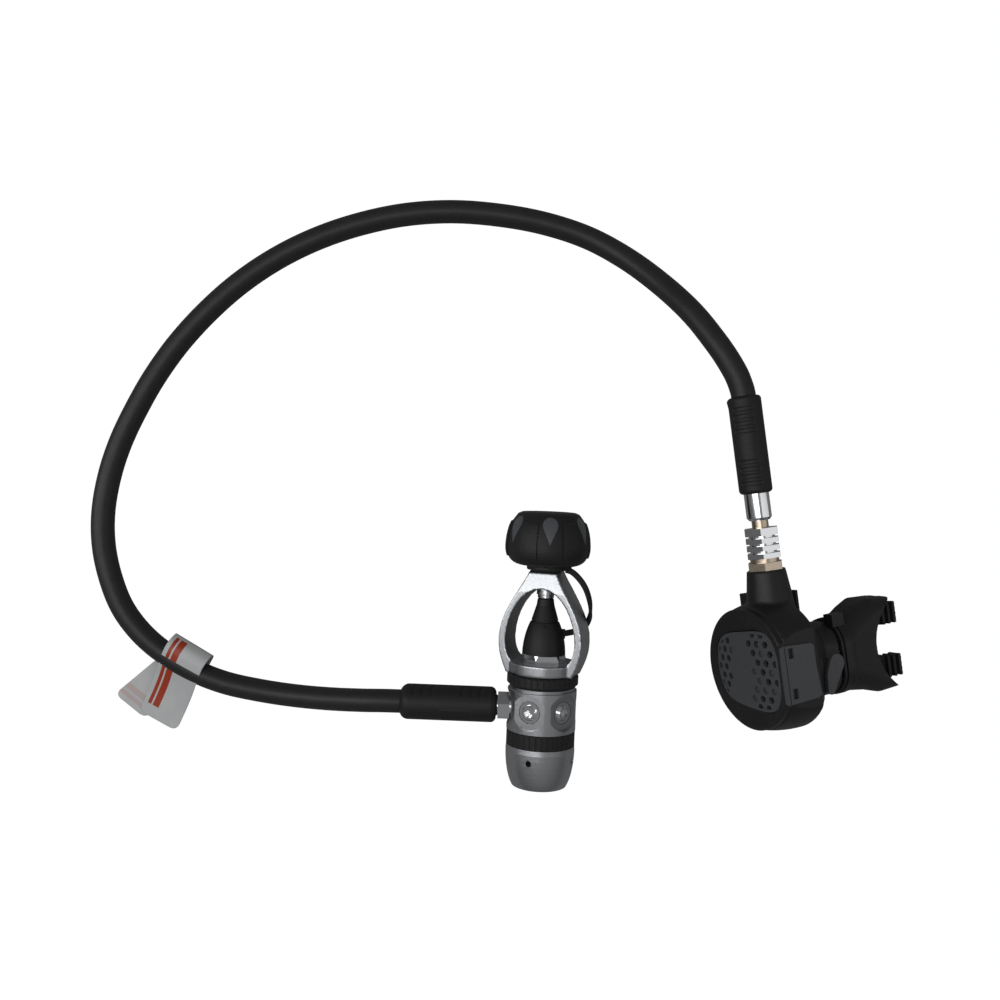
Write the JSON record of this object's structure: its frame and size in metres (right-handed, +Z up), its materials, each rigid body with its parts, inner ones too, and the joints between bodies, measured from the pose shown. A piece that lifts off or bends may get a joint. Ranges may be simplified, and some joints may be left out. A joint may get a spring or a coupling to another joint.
{
  "type": "scuba regulator set",
  "caption": "Scuba regulator set: yoke first stage with dust cap and clamping knob, one hose in a loop, and a demand valve with mouthpiece, lying flat.",
  "frame": {"origin": "on the table under the middle of the two stages' common bounding box, without the hose and its fittings", "axes": "+Z up; +X from the first stage to the demand valve; +Y along the first stage towards its knob"},
  "size_m": [0.5009, 0.3546, 0.0886],
  "materials": {
    "satin_chrome": "satin pearl plating with a fine grain",
    "bright_chrome": "polished plating",
    "plated_brass": "machined",
    "bare_brass": "satin",
    "steel": "turned",
    "sintered_bronze": "porous",
    "black_rubber": "satin",
    "seal_rubber": "smooth",
    "hose_rubber": "matt",
    "knob_rubber": "fine-grained satin",
    "grey_plastic": "fine-textured satin",
    "black_plastic": "satin",
    "white_plastic": "smooth",
    "silicone": "soft matt",
    "paper": "coated paper"
  },
  "bodies": {
    "first_stage": {"end_cap": "satin_chrome", "cap_band": "black_rubber", "stage_body": "satin_chrome", "port_band": "black_rubber", "yoke": "satin_chrome", "yoke_retainer": "bright_chrome", "inlet_filter": "sintered_bronze", "filter_clip": "steel", "port_plugs": "bright_chrome", "port_plug_seals": "seal_rubber", "stage_seals": "seal_rubber", "spring_adjuster": "plated_brass", "main_spring": "steel", "stage_diaphragm": "seal_rubber", "valve_seat": "plated_brass", "stage_valve_spring": "steel", "balance_plug": "plated_brass", "hose_end_fitting": "bright_chrome", "ferrule_first": "bright_chrome", "sleeve_first": "black_rubber", "hose": "hose_rubber", "hose_tag": "paper", "sleeve_second": "black_rubber", "ferrule_second": "bright_chrome", "hose_tailpiece": "bare_brass", "hose_seals": "seal_rubber"},
    "valve_train": {"spring_pad": "plated_brass", "valve_lifter": "plated_brass", "stage_valve": "plated_brass"},
    "screw_foot": {"screw_foot": "bright_chrome"},
    "knob": {"yoke_screw": "steel", "knob_hub": "steel", "knob_grip": "knob_rubber", "knob_inlays_set": "grey_plastic"},
    "dust_cap": {"dust_cap": "black_rubber", "cap_strap": "black_rubber"},
    "second_stage": {"swivel_nut": "bright_chrome", "inlet_fitting": "bare_brass", "case": "black_plastic", "front_ring": "black_plastic", "demand_diaphragm": "seal_rubber", "purge_spring": "steel", "valve_barrel": "plated_brass", "orifice": "bare_brass", "poppet_spring": "steel", "barrel_nut": "bare_brass", "exhaust_valve": "seal_rubber", "exhaust_tee": "black_plastic", "side_panel": "grey_plastic", "mouthpiece": "silicone", "mouthpiece_tie": "black_plastic"},
    "purge": {"purge_cover": "grey_plastic"},
    "diaphragm_centre": {"diaphragm_disc": "white_plastic"},
    "lever": {"demand_lever": "steel"},
    "poppet": {"poppet": "white_plastic"},
    "venturi": {"venturi_lever": "grey_plastic"}
  },
  "joints": [
    {"name": "regulator_valve_lift", "type": "slide", "parent": "first_stage", "child": "valve_train", "axis": [0, -0.9995, -0.0324], "range_m": [0, 0.0006], "deforming": ["main_spring", "stage_diaphragm", "stage_valve_spring"]},
    {"name": "screw_travel", "type": "slide", "parent": "first_stage", "child": "screw_foot", "axis": [0, 0.9995, 0.0324], "range_m": [0, 0.012]},
    {"name": "knob_turn", "type": "hinge", "parent": "screw_foot", "child": "knob", "pos_m": [-0.0947, 0.03024, 0.02372], "axis": [0, 0.9995, 0.0324], "range_deg": [0, 2160]},
    {"name": "dust_cap_lift", "type": "slide", "parent": "first_stage", "child": "dust_cap", "axis": [0, 0.9995, 0.0324], "range_m": [0, 0.0035]},
    {"name": "second_stage_swivel", "type": "hinge", "parent": "first_stage", "child": "second_stage", "pos_m": [0.02838, 0.06097, 0.051], "axis": [-0.165, 0.9863, 0], "continuous": true},
    {"name": "purge_press", "type": "slide", "parent": "second_stage", "child": "purge", "axis": [0.901, 0.1508, -0.4067], "range_m": [0, 0.0027], "stiffness_N_per_m": 600, "springref_m": -0.0008, "deforming": ["purge_spring"]},
    {"name": "diaphragm_travel", "type": "slide", "parent": "second_stage", "child": "diaphragm_centre", "axis": [0.901, 0.1508, -0.4067], "range_m": [0, 0.0027], "deforming": ["demand_diaphragm"]},
    {"name": "demand_lever_tilt", "type": "hinge", "parent": "second_stage", "child": "lever", "pos_m": [0.04038, -0.01073, 0.051], "axis": [-0.4012, -0.0671, -0.9135], "range_deg": [0, 8.14]},
    {"name": "poppet_travel", "type": "slide", "parent": "second_stage", "child": "poppet", "axis": [0.165, -0.9863, 0], "range_m": [0, 0.0007], "deforming": ["poppet_spring"]},
    {"name": "venturi_turn", "type": "hinge", "parent": "second_stage", "child": "venturi", "pos_m": [0.05881, -0.00461, 0.04246], "axis": [0.4012, 0.0671, 0.9135], "range_deg": [0, 50]}
  ],
  "couplings": [
    {"joint": "knob_turn", "follows": "screw_travel", "rad_per_m": 3141.6},
    {"joint": "dust_cap_lift", "follows": "screw_travel", "ratio": 0.28333},
    {"joint": "diaphragm_travel", "follows": "purge_press", "ratio": 1},
    {"joint": "demand_lever_tilt", "follows": "purge_press", "rad_per_m": 52.567},
    {"joint": "poppet_travel", "follows": "purge_press", "ratio": 0.25556}
  ]
}
